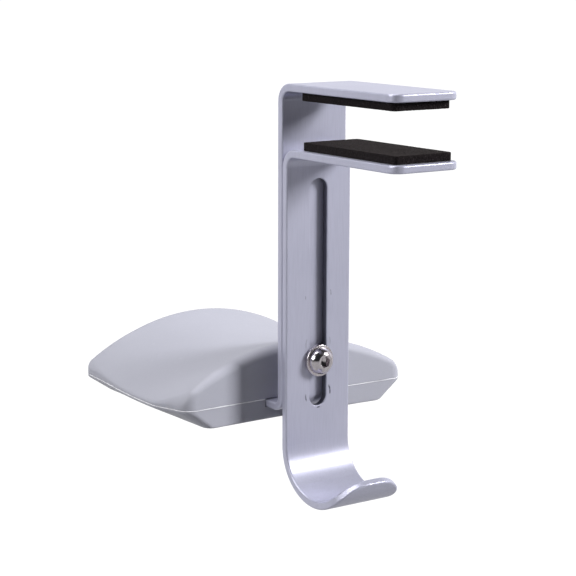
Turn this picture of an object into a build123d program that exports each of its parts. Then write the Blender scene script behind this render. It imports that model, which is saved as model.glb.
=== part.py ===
from build123d import *
import math
import os

os.makedirs("parts", exist_ok=True)

# Desk-clamp headphone hook.  Two bent flat bars slide on each other behind one
# button-head screw; the padded jaws grip the edge of a desk, a J-hook hangs
# below the front bar and a crowned saddle stands out behind the rear bar.
#
# Frame: X across the bars, Y from the desk (-Y) to the saddle (+Y), Z up.
# Origin: on the centre line, at the height of the upper clamping face (the
# desk top) and in the plane of the front bar's face (the desk's edge).

# ---------------------------------------------------------------- dimensions
# Bars
BAR_W = 30.0            # width of both bars
BAR_T = 3.0             # thickness of both bars
EDGE_R = 0.7            # tumbled edge rounding of the bars
PLATE_GAP = 0.15        # running gap between the two uprights
UPPER_JAW_END = -65.2   # free end of the upper jaw
LOWER_JAW_END = -66.0   # free end of the lower jaw
JAW_CORNER_R = 4.5      # plan radius of the jaw corners
BEND_R = 4.0            # inner bend radius of the jaws
TAB_BEND_R = 2.5        # inner bend radius of the saddle tab

# Pads
ADHESIVE_T = 0.15
UPPER_PAD_T = 3.0
LOWER_PAD_T = 3.0
PAD_W = 25.6
UPPER_PAD_END = -62.2
UPPER_PAD_START = -6.0
LOWER_PAD_END = -63.6
LOWER_PAD_START = -7.1
PAD_CORNER_R = 1.5

# Heights
Z_UPPER_JAW = UPPER_PAD_T + ADHESIVE_T          # underside of the upper jaw
Z_TOP = Z_UPPER_JAW + BAR_T                     # highest face
Z_LOWER_JAW = Z_TOP - 24.6                      # top face of the lower jaw
Z_SCREW = Z_TOP - 107.5                         # clamp screw axis
Z_SLOT_TOP = Z_TOP - 36.5
Z_SLOT_BOTTOM = Z_TOP - 125.7
Z_HOOK_CENTRE = Z_TOP - 140.0                   # centre of the hook's first arc
Z_SEAM = Z_TOP - 123.9                          # joint line of the saddle
Z_TAB = Z_TOP - 124.2                           # top face of the saddle tab

# Front bar
SLOT_W = 8.0
SLOT_EDGE_R = 0.35
HOOK_R = 16.8           # inner radius of the J-hook next to the upright
FIRST_TURN = 56.0       # turn of that first arc
OPEN_R = 19.0           # inner radius of the rest
HOOK_SWEEP = 154.0      # whole turn, from the upright to the lip's end
LIP_CORNER_R = 12.4

# Rear bar
Y_REAR = BAR_T + PLATE_GAP                      # front face of the rear bar
TAB_END = 70.0
TAB_CORNER_R = 6.0
TAB_HOLE_D = 4.4
TAB_HOLES_Y = (32.0, 60.0)

# Clamp screw, M6 button head, with its washer and its pressed-in insert
SCREW_D = 6.0
HEAD_D = 10.5
HEAD_H = 3.3
SOCKET_AF = 4.0
SOCKET_DEPTH = 2.1
SCREW_LEN = 10.0
WASHER_D = 12.5
WASHER_BORE = 6.4
WASHER_T = 1.6
SEAT_GAP = 0.02
INSERT_D = 7.7          # also the guide in the slot
INSERT_BOSS = 2.7       # how far the guide stands into the slot
INSERT_FLANGE_D = 11.0
INSERT_FLANGE_T = 1.0

# Saddle
Y_NEAR = 13.3           # face towards the rear bar
Y_FAR = 92.8
SADDLE_DROP = 8.35      # lower part, joint line to underside
CROWN = 21.3            # rims above the joint line at the centre
RIM_R = 87.0            # arch of the rims across the saddle
VALLEY = 4.0            # depth of the hollow between the rims at the centre
VALLEY_R = 106.0        # arch of the hollow across the saddle
HALF_CORNER = 52.6      # half width at the rims
HALF_BASE = 42.1        # half width of the underside
RIM_FILLET = 3.0
CHEEK_R = 3.0           # vertical corners of the saddle
WALL = 2.6
NOTCH_W = 30.6
NOTCH_H = 3.45
JOINT_GAP = 0.05        # hairline between the saddle's two parts
BOSS_D = 8.0
TAB_BOSS_D = 11.0
COVER_SCREW_X = 32.0
COVER_SCREW_Y = (26.0, 80.0)
SELF_TAP_D = 3.0
SELF_TAP_LEN = 12.0
SELF_TAP_HEAD_D = 5.6
SELF_TAP_HEAD_H = 2.2
TAB_SCREW_D = 4.0
TAB_SCREW_LEN = 14.0
TAB_SCREW_HEAD_D = 7.6
TAB_SCREW_HEAD_H = 2.6
CSK_WEB = 2.2           # material left under each screw head

HALF = BAR_W / 2.0

# ---------------------------------------------------------------- rear bracket
# Upper jaw, upright and the tab that carries the saddle, bent from one bar.
with BuildPart() as rear_bracket:
    with BuildSketch(Plane.YZ) as rear_side:
        with BuildLine():
            Polyline(
                (UPPER_JAW_END, Z_TOP),
                (Y_REAR + BAR_T, Z_TOP),
                (Y_REAR + BAR_T, Z_TAB),
                (TAB_END, Z_TAB),
                (TAB_END, Z_TAB - BAR_T),
                (Y_REAR, Z_TAB - BAR_T),
                (Y_REAR, Z_UPPER_JAW),
                (UPPER_JAW_END, Z_UPPER_JAW),
                close=True,
            )
        make_face()
        bend = rear_side.vertices().sort_by_distance((Y_REAR + BAR_T, Z_TOP, 0))[0]
        fillet(bend, BEND_R + BAR_T)
        bend = rear_side.vertices().sort_by_distance((Y_REAR, Z_UPPER_JAW, 0))[0]
        fillet(bend, BEND_R)
        bend = rear_side.vertices().sort_by_distance((Y_REAR + BAR_T, Z_TAB, 0))[0]
        fillet(bend, TAB_BEND_R)
        bend = rear_side.vertices().sort_by_distance((Y_REAR, Z_TAB - BAR_T, 0))[0]
        fillet(bend, TAB_BEND_R + BAR_T)
    extrude(amount=HALF, both=True)
    jaw_corners = rear_bracket.edges().filter_by(Axis.Z).group_by(Axis.Y)[0]
    fillet(jaw_corners, JAW_CORNER_R)
    tab_corners = rear_bracket.edges().filter_by(Axis.Z).group_by(Axis.Y)[-1]
    fillet(tab_corners, TAB_CORNER_R)
    rims = rear_bracket.faces().filter_by(Axis.X)
    fillet(rims.edges(), EDGE_R)
    # Seat of the pressed-in insert
    with BuildSketch(Plane.XZ.offset(-Y_REAR)) as insert_seat:
        with Locations((0, Z_SCREW)):
            Circle(INSERT_D / 2.0)
    extrude(amount=-BAR_T, mode=Mode.SUBTRACT)
    # Holes for the saddle screws
    with BuildSketch(Plane.XY.offset(Z_TAB)) as tab_holes:
        with Locations(*[(0, y) for y in TAB_HOLES_Y]):
            Circle(TAB_HOLE_D / 2.0)
    extrude(amount=-BAR_T, mode=Mode.SUBTRACT)
rear_bracket.part.label = "rear_bracket"
export_step(rear_bracket.part, "parts/rear_bracket.step")

# ---------------------------------------------------------------- front bracket
# Lower jaw, slotted upright and the J-hook, bent from one bar.
def first_arc(turn, depth):
    """Point of the hook's first arc, depth below its inner surface."""
    a = math.radians(turn)
    r = HOOK_R + depth
    return (-HOOK_R + r * math.cos(a), Z_HOOK_CENTRE - r * math.sin(a))


def second_arc(turn, depth):
    """Point of the second arc, which runs on to the lip's end."""
    a, a1 = math.radians(turn), math.radians(FIRST_TURN)
    cy = -HOOK_R + (HOOK_R - OPEN_R) * math.cos(a1)
    cz = Z_HOOK_CENTRE - (HOOK_R - OPEN_R) * math.sin(a1)
    r = OPEN_R + depth
    return (cy + r * math.cos(a), cz - r * math.sin(a))


half_first = FIRST_TURN / 2.0
half_second = (FIRST_TURN + HOOK_SWEEP) / 2.0
lip_in, lip_out = second_arc(HOOK_SWEEP, 0.0), second_arc(HOOK_SWEEP, BAR_T)

with BuildPart() as front_bracket:
    with BuildSketch(Plane.YZ) as front_side:
        with BuildLine():
            Polyline(
                (0, Z_HOOK_CENTRE),
                (0, Z_LOWER_JAW - BAR_T),
                (LOWER_JAW_END, Z_LOWER_JAW - BAR_T),
                (LOWER_JAW_END, Z_LOWER_JAW),
                (BAR_T, Z_LOWER_JAW),
                (BAR_T, Z_HOOK_CENTRE),
            )
            ThreePointArc((BAR_T, Z_HOOK_CENTRE), first_arc(half_first, BAR_T), first_arc(FIRST_TURN, BAR_T))
            ThreePointArc(first_arc(FIRST_TURN, BAR_T), second_arc(half_second, BAR_T), lip_out)
            Line(lip_out, lip_in)
            ThreePointArc(lip_in, second_arc(half_second, 0.0), first_arc(FIRST_TURN, 0.0))
            ThreePointArc(first_arc(FIRST_TURN, 0.0), first_arc(half_first, 0.0), (0, Z_HOOK_CENTRE))
        make_face()
        bend = front_side.vertices().sort_by_distance((BAR_T, Z_LOWER_JAW, 0))[0]
        fillet(bend, BEND_R + BAR_T)
        bend = front_side.vertices().sort_by_distance((0, Z_LOWER_JAW - BAR_T, 0))[0]
        fillet(bend, BEND_R)
    extrude(amount=HALF, both=True)
    jaw_corners = front_bracket.edges().filter_by(Axis.Z).group_by(Axis.Y)[0]
    fillet(jaw_corners, JAW_CORNER_R)
    # Round corners of the lip, cut square to its end
    end_turn = math.radians(HOOK_SWEEP)
    lip_plane = Plane(
        origin=(0, (lip_in[0] + lip_out[0]) / 2.0, (lip_in[1] + lip_out[1]) / 2.0),
        x_dir=(1, 0, 0),
        z_dir=(0, math.cos(end_turn), -math.sin(end_turn)),
    )
    corner_x = HALF - LIP_CORNER_R
    with BuildSketch(lip_plane) as lip_waste:
        with Locations(
            (corner_x + (LIP_CORNER_R + 1.0) / 2.0, (1.0 - LIP_CORNER_R) / 2.0),
            (-corner_x - (LIP_CORNER_R + 1.0) / 2.0, (1.0 - LIP_CORNER_R) / 2.0),
        ):
            Rectangle(LIP_CORNER_R + 1.0, LIP_CORNER_R + 1.0)
        with Locations((corner_x, -LIP_CORNER_R), (-corner_x, -LIP_CORNER_R)):
            Circle(LIP_CORNER_R, mode=Mode.SUBTRACT)
    extrude(amount=7.0, both=True, mode=Mode.SUBTRACT)
    rims = front_bracket.faces().filter_by(Axis.X)
    fillet(rims.edges(), EDGE_R)
    # Long adjusting slot
    slot_len = Z_SLOT_TOP - Z_SLOT_BOTTOM
    with BuildSketch(Plane.XZ) as slot:
        with Locations((0, (Z_SLOT_TOP + Z_SLOT_BOTTOM) / 2.0)):
            SlotOverall(slot_len, SLOT_W, rotation=90)
    extrude(amount=-BAR_T, mode=Mode.SUBTRACT)
    # Its edges are eased front and back
    slot_rims = front_bracket.edges().filter_by(
        lambda e: abs(e.center().X) < SLOT_W / 2.0 + 0.01
        and Z_SLOT_BOTTOM - 0.01 < e.center().Z < Z_SLOT_TOP + 0.01
        and (abs(e.center().Y) < 1e-4 or abs(e.center().Y - BAR_T) < 1e-4)
    )
    fillet(slot_rims, SLOT_EDGE_R)
front_bracket.part.label = "front_bracket"
export_step(front_bracket.part, "parts/front_bracket.step")

# ---------------------------------------------------------------- clamp pads
# Each pad is a die-cut foam sheet on its own layer of double-sided adhesive.
def pad_outline(end, start):
    """Rounded rectangle from end to start along Y, centred on X."""
    with Locations((0, (end + start) / 2.0)):
        return RectangleRounded(PAD_W, start - end, PAD_CORNER_R)


with BuildPart() as upper_pad_adhesive:
    with BuildSketch(Plane.XY.offset(Z_UPPER_JAW)):
        pad_outline(UPPER_PAD_END, UPPER_PAD_START)
    extrude(amount=-ADHESIVE_T)
upper_pad_adhesive.part.label = "upper_pad_adhesive"
export_step(upper_pad_adhesive.part, "parts/upper_pad_adhesive.step")

with BuildPart() as upper_pad:
    with BuildSketch(Plane.XY):
        pad_outline(UPPER_PAD_END, UPPER_PAD_START)
    extrude(amount=UPPER_PAD_T)
upper_pad.part.label = "upper_pad"
export_step(upper_pad.part, "parts/upper_pad.step")

with BuildPart() as lower_pad_adhesive:
    with BuildSketch(Plane.XY.offset(Z_LOWER_JAW)):
        pad_outline(LOWER_PAD_END, LOWER_PAD_START)
    extrude(amount=ADHESIVE_T)
lower_pad_adhesive.part.label = "lower_pad_adhesive"
export_step(lower_pad_adhesive.part, "parts/lower_pad_adhesive.step")

with BuildPart() as lower_pad:
    with BuildSketch(Plane.XY.offset(Z_LOWER_JAW + ADHESIVE_T)):
        pad_outline(LOWER_PAD_END, LOWER_PAD_START)
    extrude(amount=LOWER_PAD_T)
lower_pad.part.label = "lower_pad"
export_step(lower_pad.part, "parts/lower_pad.step")

# ---------------------------------------------------------------- threaded insert
# Flange behind the rear bar, knurled barrel through it, and a plain guide
# that stands into the slot of the front bar.  Its bore is the M6 thread.
with BuildPart() as threaded_insert:
    with BuildSketch(Plane.YZ) as insert_half:
        with BuildLine():
            Polyline(
                (Y_REAR - INSERT_BOSS, Z_SCREW + SCREW_D / 2.0 + 0.3),
                (Y_REAR - INSERT_BOSS, Z_SCREW + INSERT_D / 2.0 - 0.25),
                (Y_REAR - INSERT_BOSS + 0.25, Z_SCREW + INSERT_D / 2.0),
                (Y_REAR + BAR_T, Z_SCREW + INSERT_D / 2.0),
                (Y_REAR + BAR_T, Z_SCREW + INSERT_FLANGE_D / 2.0),
                (Y_REAR + BAR_T + INSERT_FLANGE_T - 0.3, Z_SCREW + INSERT_FLANGE_D / 2.0),
                (Y_REAR + BAR_T + INSERT_FLANGE_T, Z_SCREW + INSERT_FLANGE_D / 2.0 - 0.3),
                (Y_REAR + BAR_T + INSERT_FLANGE_T, Z_SCREW + SCREW_D / 2.0 + 0.3),
                (Y_REAR + BAR_T + INSERT_FLANGE_T - 0.3, Z_SCREW + SCREW_D / 2.0),
                (Y_REAR - INSERT_BOSS + 0.3, Z_SCREW + SCREW_D / 2.0),
                close=True,
            )
        make_face()
    revolve(axis=Axis((0, 0, Z_SCREW), (0, 1, 0)), revolution_arc=360)
threaded_insert.part.label = "threaded_insert"
export_step(threaded_insert.part, "parts/threaded_insert.step")

# ---------------------------------------------------------------- washer
with BuildPart() as flat_washer:
    with BuildSketch(Plane.XZ.offset(SEAT_GAP)) as washer_face:
        with Locations((0, Z_SCREW)):
            Circle(WASHER_D / 2.0)
            Circle(WASHER_BORE / 2.0, mode=Mode.SUBTRACT)
    extrude(amount=WASHER_T)
    outer_rims = flat_washer.edges().filter_by(GeomType.CIRCLE).group_by(
        lambda e: round(e.radius, 3)
    )[-1]
    fillet(outer_rims, 0.3)
flat_washer.part.label = "flat_washer"
export_step(flat_washer.part, "parts/flat_washer.step")

# ---------------------------------------------------------------- clamp screw
# The head's dome is a spherical cap over a short cylindrical rim; the shank
# stands for the M6 thread at 0.05 under its major radius.
y_seat = -SEAT_GAP - WASHER_T - SEAT_GAP
y_face = y_seat - HEAD_H
SHANK_R = SCREW_D / 2.0 - 0.05
with BuildPart() as clamp_screw:
    with BuildSketch(Plane.YZ) as screw_half:
        with BuildLine():
            Line((y_face, Z_SCREW), (y_face, Z_SCREW + 2.95))
            ThreePointArc(
                (y_face, Z_SCREW + 2.95),
                (y_face + 0.95, Z_SCREW + 4.35),
                (y_seat - 0.55, Z_SCREW + HEAD_D / 2.0),
            )
            Polyline(
                (y_seat - 0.55, Z_SCREW + HEAD_D / 2.0),
                (y_seat - 0.15, Z_SCREW + HEAD_D / 2.0),
                (y_seat, Z_SCREW + HEAD_D / 2.0 - 0.15),
                (y_seat, Z_SCREW + SHANK_R),
                (y_seat + SCREW_LEN - 0.7, Z_SCREW + SHANK_R),
                (y_seat + SCREW_LEN, Z_SCREW + SHANK_R - 0.7),
                (y_seat + SCREW_LEN, Z_SCREW),
                (y_face, Z_SCREW),
            )
        make_face()
    revolve(axis=Axis((0, 0, Z_SCREW), (0, 1, 0)), revolution_arc=360)
    # Hexagon socket with a drilled cone at its floor
    with BuildSketch(Plane.XZ.offset(-y_face)) as socket:
        with Locations((0, Z_SCREW)):
            RegularPolygon(SOCKET_AF / 2.0, 6, major_radius=False, rotation=12)
    extrude(amount=-SOCKET_DEPTH, mode=Mode.SUBTRACT)
    with BuildSketch(Plane.YZ) as socket_cone:
        with BuildLine():
            Polyline(
                (y_face + SOCKET_DEPTH, Z_SCREW),
                (y_face + SOCKET_DEPTH, Z_SCREW + 1.9),
                (y_face + SOCKET_DEPTH + 0.55, Z_SCREW),
                close=True,
            )
        make_face()
    revolve(
        axis=Axis((0, 0, Z_SCREW), (0, 1, 0)),
        revolution_arc=360,
        mode=Mode.SUBTRACT,
    )
clamp_screw.part.label = "clamp_screw"
export_step(clamp_screw.part, "parts/clamp_screw.step")

# ---------------------------------------------------------------- saddle
# Two moulded parts: an upper shell with the crowned, hollow top and a shallow
# lower shell.  They close round the tab, which enters through a notch just
# under the joint line, and are held by screws from below.
Y_MID = (Y_NEAR + Y_FAR) / 2.0
Z_BASE = Z_SEAM - SADDLE_DROP
SWELL = [               # half width of the end outline against Y
    (HALF_CORNER, Y_NEAR),
    (53.1, 19.0),
    (54.5, 23.6),
    (56.0, 28.0),
    (56.6, 36.0),
    (56.4, 45.0),
    (55.6, 58.0),
    (54.5, 69.0),
    (53.4, 80.5),
    (HALF_CORNER, Y_FAR),
]


def sag(radius, x):
    return radius - math.sqrt(radius * radius - x * x)


# Arches across the saddle: at mid depth, and beyond each rim where the
# parabola through the hollow and the rims has risen to 1.44 times its depth.
OVER = 1.2
end_mid = CROWN - VALLEY - sag(VALLEY_R, HALF_CORNER)
end_rim = CROWN - sag(RIM_R, HALF_CORNER)
crown_over = CROWN - VALLEY + VALLEY * OVER**2
end_over = end_mid + (end_rim - end_mid) * OVER**2
drop_over = crown_over - end_over
OVER_R = (HALF_CORNER**2 + drop_over**2) / (2.0 * drop_over)
REACH = 64.0            # how far the arches run out past the outline


def arches(lower):
    """Closed sections under the top surface, lowered by the given amount."""
    sections = []
    for y, crown, radius in (
        (Y_MID - OVER * (Y_MID - Y_NEAR), crown_over - lower, OVER_R),
        (Y_MID, CROWN - VALLEY - lower, VALLEY_R),
        (Y_MID + OVER * (Y_MID - Y_NEAR), crown_over - lower, OVER_R),
    ):
        foot = crown - sag(radius, REACH)
        with BuildSketch(Plane.XZ.offset(-y)) as section:
            with BuildLine():
                ThreePointArc(
                    (-REACH, Z_SEAM + foot),
                    (0, Z_SEAM + crown),
                    (REACH, Z_SEAM + foot),
                )
                Polyline(
                    (REACH, Z_SEAM + foot),
                    (REACH, Z_SEAM - 25.0),
                    (-REACH, Z_SEAM - 25.0),
                    (-REACH, Z_SEAM + foot),
                )
            make_face()
        sections.append(section.sketch)
    return sections


# Plan of the saddle at the joint line
with BuildSketch(Plane.XY) as end_outline:
    with BuildLine():
        Line((-HALF_CORNER, Y_NEAR), (HALF_CORNER, Y_NEAR))
        Spline(*SWELL)
        Line((HALF_CORNER, Y_FAR), (-HALF_CORNER, Y_FAR))
        Spline(*[(-x, y) for x, y in reversed(SWELL)])
    make_face()

# Screw stations
cover_points = [(x, y) for x in (-COVER_SCREW_X, COVER_SCREW_X) for y in COVER_SCREW_Y]
tab_points = [(0.0, y) for y in TAB_HOLES_Y]

# Room inside the upper shell
with BuildPart() as upper_hollow:
    loft(arches(WALL))
    with BuildSketch(Plane.XY.offset(Z_SEAM - 1.0)):
        with Locations((0, Y_MID)):
            RectangleRounded(
                2.0 * (HALF_CORNER - WALL - 0.6), Y_FAR - Y_NEAR - 2.0 * WALL, 2.0
            )
    extrude(amount=40.0, mode=Mode.INTERSECT)

# Posts that take the screws, ending inside the thickness of the shell
with BuildPart() as upper_posts:
    loft(arches(WALL / 2.0))
    with BuildSketch(Plane.XY.offset(Z_SEAM)):
        with Locations(*cover_points):
            Circle(BOSS_D / 2.0)
        with Locations(*tab_points):
            Circle(TAB_BOSS_D / 2.0)
    extrude(amount=40.0, mode=Mode.INTERSECT)

with BuildPart() as saddle_upper:
    loft(arches(0.0))
    with BuildSketch(Plane.XY.offset(Z_SEAM + JOINT_GAP)):
        add(end_outline.sketch)
    extrude(amount=40.0, mode=Mode.INTERSECT)
    rims = saddle_upper.edges().filter_by(
        lambda e: e.center().Z > Z_SEAM + 8.0
        and (abs(e.center().Y - Y_NEAR) < 0.01 or abs(e.center().Y - Y_FAR) < 0.01)
    )
    fillet(rims, RIM_FILLET)
    add(upper_hollow.part, mode=Mode.SUBTRACT)
    add(upper_posts.part)
    # Posts over the tab stand on it, a little below the joint line
    with BuildSketch(Plane.XY.offset(Z_TAB + SEAT_GAP)):
        with Locations(*tab_points):
            Circle(TAB_BOSS_D / 2.0)
    extrude(amount=2.0)
    # Trim the other posts back to the joint face
    with BuildSketch(Plane.XY.offset(Z_SEAM + JOINT_GAP)):
        with Locations(*cover_points):
            Circle(BOSS_D / 2.0 + 0.5)
    extrude(amount=-2.0, mode=Mode.SUBTRACT)
    # Pilot holes
    with BuildSketch(Plane.XY.offset(Z_SEAM - 1.0)):
        with Locations(*cover_points):
            Circle(SELF_TAP_D / 2.0)
    extrude(amount=10.0, mode=Mode.SUBTRACT)
    with BuildSketch(Plane.XY.offset(Z_SEAM - 1.0)):
        with Locations(*tab_points):
            Circle(TAB_SCREW_D / 2.0)
    extrude(amount=12.5, mode=Mode.SUBTRACT)
saddle_upper.part.label = "saddle_upper"
export_step(saddle_upper.part, "parts/saddle_upper.step")

with BuildPart() as lower_hollow:
    with BuildSketch(Plane.XY.offset(Z_SEAM + 1.0)):
        with Locations((0, Y_MID)):
            Rectangle(2.0 * (HALF_CORNER - WALL - 1.2), Y_FAR - Y_NEAR - 2.0 * WALL)
    with BuildSketch(Plane.XY.offset(Z_BASE + WALL)):
        with Locations((0, Y_MID)):
            Rectangle(2.0 * (HALF_BASE - WALL + 0.4), Y_FAR - Y_NEAR - 2.0 * WALL)
    loft(ruled=True)

with BuildPart() as saddle_lower:
    with BuildSketch(Plane.XY.offset(Z_SEAM)):
        add(end_outline.sketch)
    with BuildSketch(Plane.XY.offset(Z_BASE)):
        with BuildLine():
            Polyline(
                (-HALF_BASE, Y_NEAR),
                (HALF_BASE, Y_NEAR),
                (HALF_BASE, Y_FAR),
                (-HALF_BASE, Y_FAR),
                close=True,
            )
        make_face()
    loft(ruled=True)
    base_rims = saddle_lower.edges().filter_by(
        lambda e: abs(e.center().Z - Z_BASE) < 0.01
    )
    fillet(base_rims, 1.2)
    add(lower_hollow.part, mode=Mode.SUBTRACT)
    # Pillars for the corner screws, up to the joint line
    with BuildSketch(Plane.XY.offset(Z_BASE + WALL / 2.0)):
        with Locations(*cover_points):
            Circle(BOSS_D / 2.0)
    extrude(amount=SADDLE_DROP - WALL / 2.0)
    # Pads under the tab and the ribs that locate its sides and end
    with BuildSketch(Plane.XY.offset(Z_BASE + WALL / 2.0)):
        with Locations(*tab_points):
            Circle(TAB_BOSS_D / 2.0)
    extrude(amount=Z_TAB - BAR_T - SEAT_GAP - Z_BASE - WALL / 2.0)
    with BuildSketch(Plane.XY.offset(Z_BASE + WALL / 2.0)):
        with Locations(
            (HALF + 1.3, (Y_NEAR + WALL / 2.0 + TAB_END) / 2.0),
            (-HALF - 1.3, (Y_NEAR + WALL / 2.0 + TAB_END) / 2.0),
        ):
            Rectangle(2.0, TAB_END - Y_NEAR - WALL / 2.0)
        with Locations((0, TAB_END + 1.3)):
            Rectangle(2.0 * (HALF + 2.3), 2.0)
    extrude(amount=SADDLE_DROP - WALL / 2.0 - 0.4)
    # Notch for the tab in the near wall
    with BuildSketch(Plane.XY.offset(Z_SEAM + 1.0)):
        with Locations((0, Y_NEAR + WALL / 2.0)):
            Rectangle(NOTCH_W, 2.0 * WALL + 2.0)
    extrude(amount=-1.0 - NOTCH_H, mode=Mode.SUBTRACT)
    # Recessed screw seats from below
    with BuildSketch(Plane.XY.offset(Z_BASE)):
        with Locations(*cover_points):
            Circle(SELF_TAP_HEAD_D / 2.0 + 0.3)
    extrude(amount=SADDLE_DROP - 3.0, mode=Mode.SUBTRACT)
    with BuildSketch(Plane.XY.offset(Z_BASE)):
        with Locations(*cover_points):
            Circle(SELF_TAP_D / 2.0 + 0.2)
    extrude(amount=SADDLE_DROP + 1.0, mode=Mode.SUBTRACT)
    tab_seat = Z_TAB - BAR_T - SEAT_GAP - CSK_WEB
    with BuildSketch(Plane.XY.offset(Z_BASE)):
        with Locations(*tab_points):
            Circle(TAB_SCREW_HEAD_D / 2.0 + 0.3)
    extrude(amount=tab_seat - Z_BASE, mode=Mode.SUBTRACT)
    with BuildSketch(Plane.XY.offset(Z_BASE)):
        with Locations(*tab_points):
            Circle(TAB_SCREW_D / 2.0 + 0.2)
    extrude(amount=SADDLE_DROP + 1.0, mode=Mode.SUBTRACT)
saddle_lower.part.label = "saddle_lower"
export_step(saddle_lower.part, "parts/saddle_lower.step")


# ---------------------------------------------------------------- saddle screws
# Pan heads with a cross recess, pointing up.
def pan_screw(shank_d, length, head_d, head_h):
    """One pan-head screw on the Z axis, its bearing face at Z = 0."""
    r = shank_d / 2.0 - 0.05
    with BuildPart() as screw:
        with BuildSketch(Plane.XZ):
            with BuildLine():
                Line((0, -head_h), (head_d * 0.28, -head_h))
                ThreePointArc(
                    (head_d * 0.28, -head_h),
                    (head_d * 0.44, -head_h * 0.72),
                    (head_d / 2.0, -head_h * 0.3),
                )
                Polyline(
                    (head_d / 2.0, -head_h * 0.3),
                    (head_d / 2.0, 0),
                    (r, 0),
                    (r, length - 2.2 * r),
                    (0.25, length),
                    (0, length),
                    (0, -head_h),
                )
            make_face()
        revolve(axis=Axis.Z)
        with BuildSketch(Plane.XY.offset(-head_h)):
            Rectangle(head_d * 0.52, head_d * 0.13)
            Rectangle(head_d * 0.13, head_d * 0.52)
        extrude(amount=head_h * 0.6, mode=Mode.SUBTRACT)
    return screw.part


tab_screw = pan_screw(TAB_SCREW_D, TAB_SCREW_LEN, TAB_SCREW_HEAD_D, TAB_SCREW_HEAD_H)
with BuildPart() as tab_screws:
    with Locations(*[(x, y, tab_seat - SEAT_GAP) for x, y in tab_points]):
        add(tab_screw)
tab_screws.part.label = "tab_screws"
export_step(tab_screws.part, "parts/tab_screws.step")

cover_screw = pan_screw(SELF_TAP_D, SELF_TAP_LEN, SELF_TAP_HEAD_D, SELF_TAP_HEAD_H)
with BuildPart() as cover_screws:
    with Locations(*[(x, y, Z_SEAM - 3.0 - SEAT_GAP) for x, y in cover_points]):
        add(cover_screw)
cover_screws.part.label = "cover_screws"
export_step(cover_screws.part, "parts/cover_screws.step")
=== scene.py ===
import math

import bmesh
import bpy
import numpy as np
from mathutils import Matrix, Vector


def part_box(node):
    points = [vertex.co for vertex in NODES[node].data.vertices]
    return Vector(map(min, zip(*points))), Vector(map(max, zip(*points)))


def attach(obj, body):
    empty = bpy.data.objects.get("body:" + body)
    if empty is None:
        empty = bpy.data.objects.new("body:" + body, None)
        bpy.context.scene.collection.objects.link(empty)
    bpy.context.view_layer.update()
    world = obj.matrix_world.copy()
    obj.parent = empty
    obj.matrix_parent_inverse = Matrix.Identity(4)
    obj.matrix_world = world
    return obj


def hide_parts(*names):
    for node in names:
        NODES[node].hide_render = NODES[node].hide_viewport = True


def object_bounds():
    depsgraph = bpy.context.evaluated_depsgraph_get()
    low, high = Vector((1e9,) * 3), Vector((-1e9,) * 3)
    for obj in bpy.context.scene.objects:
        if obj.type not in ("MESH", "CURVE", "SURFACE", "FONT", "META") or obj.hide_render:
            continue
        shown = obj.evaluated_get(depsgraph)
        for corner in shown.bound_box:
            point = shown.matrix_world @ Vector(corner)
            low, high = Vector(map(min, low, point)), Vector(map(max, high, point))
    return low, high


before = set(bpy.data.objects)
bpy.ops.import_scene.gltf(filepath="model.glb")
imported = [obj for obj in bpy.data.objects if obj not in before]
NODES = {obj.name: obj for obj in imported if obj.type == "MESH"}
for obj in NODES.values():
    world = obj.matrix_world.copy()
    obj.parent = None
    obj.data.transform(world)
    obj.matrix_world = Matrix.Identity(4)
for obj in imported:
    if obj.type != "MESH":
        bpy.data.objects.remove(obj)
CAD_LO, CAD_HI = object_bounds()
MM = 0.001
scene = bpy.context.scene


# ------------------------------------------------------------------ helpers
def new_object(name, verts, faces, smooth=True):
    """A mesh object from points in millimetres."""
    mesh = bpy.data.meshes.new(name)
    mesh.from_pydata([tuple(float(c) * MM for c in v) for v in verts], [], [tuple(int(i) for i in f) for f in faces])
    mesh.validate()
    mesh.update()
    bm = bmesh.new()
    bm.from_mesh(mesh)
    bmesh.ops.recalc_face_normals(bm, faces=bm.faces)
    bm.to_mesh(mesh)
    bm.free()
    mesh.polygons.foreach_set("use_smooth", [smooth] * len(mesh.polygons))
    obj = bpy.data.objects.new(name, mesh)
    scene.collection.objects.link(obj)
    return obj


def apply_modifiers(obj):
    """Replaces an object's mesh by its evaluated mesh."""
    bpy.context.view_layer.update()
    dg = bpy.context.evaluated_depsgraph_get()
    mesh = bpy.data.meshes.new_from_object(obj.evaluated_get(dg), depsgraph=dg)
    old = obj.data
    obj.modifiers.clear()
    obj.data = mesh
    mesh.name = obj.name
    bpy.data.meshes.remove(old)
    return obj


def cut(obj, cutter, operation="DIFFERENCE"):
    mod = obj.modifiers.new("cut", "BOOLEAN")
    mod.operation = operation
    mod.solver = "EXACT"
    mod.object = cutter
    apply_modifiers(obj)
    bpy.data.objects.remove(cutter)
    return obj


def sharpen(obj, degrees):
    """Marks edges over an angle as sharp and shades every face smooth."""
    mesh = obj.data
    bm = bmesh.new()
    bm.from_mesh(mesh)
    limit = math.radians(degrees)
    for e in bm.edges:
        if len(e.link_faces) == 2:
            e.smooth = e.calc_face_angle(0.0) < limit
    for f in bm.faces:
        f.smooth = True
    bm.to_mesh(mesh)
    bm.free()


def weighted(obj):
    mod = obj.modifiers.new("weighted", "WEIGHTED_NORMAL")
    mod.keep_sharp = True
    mod.weight = 100
    return obj


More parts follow.
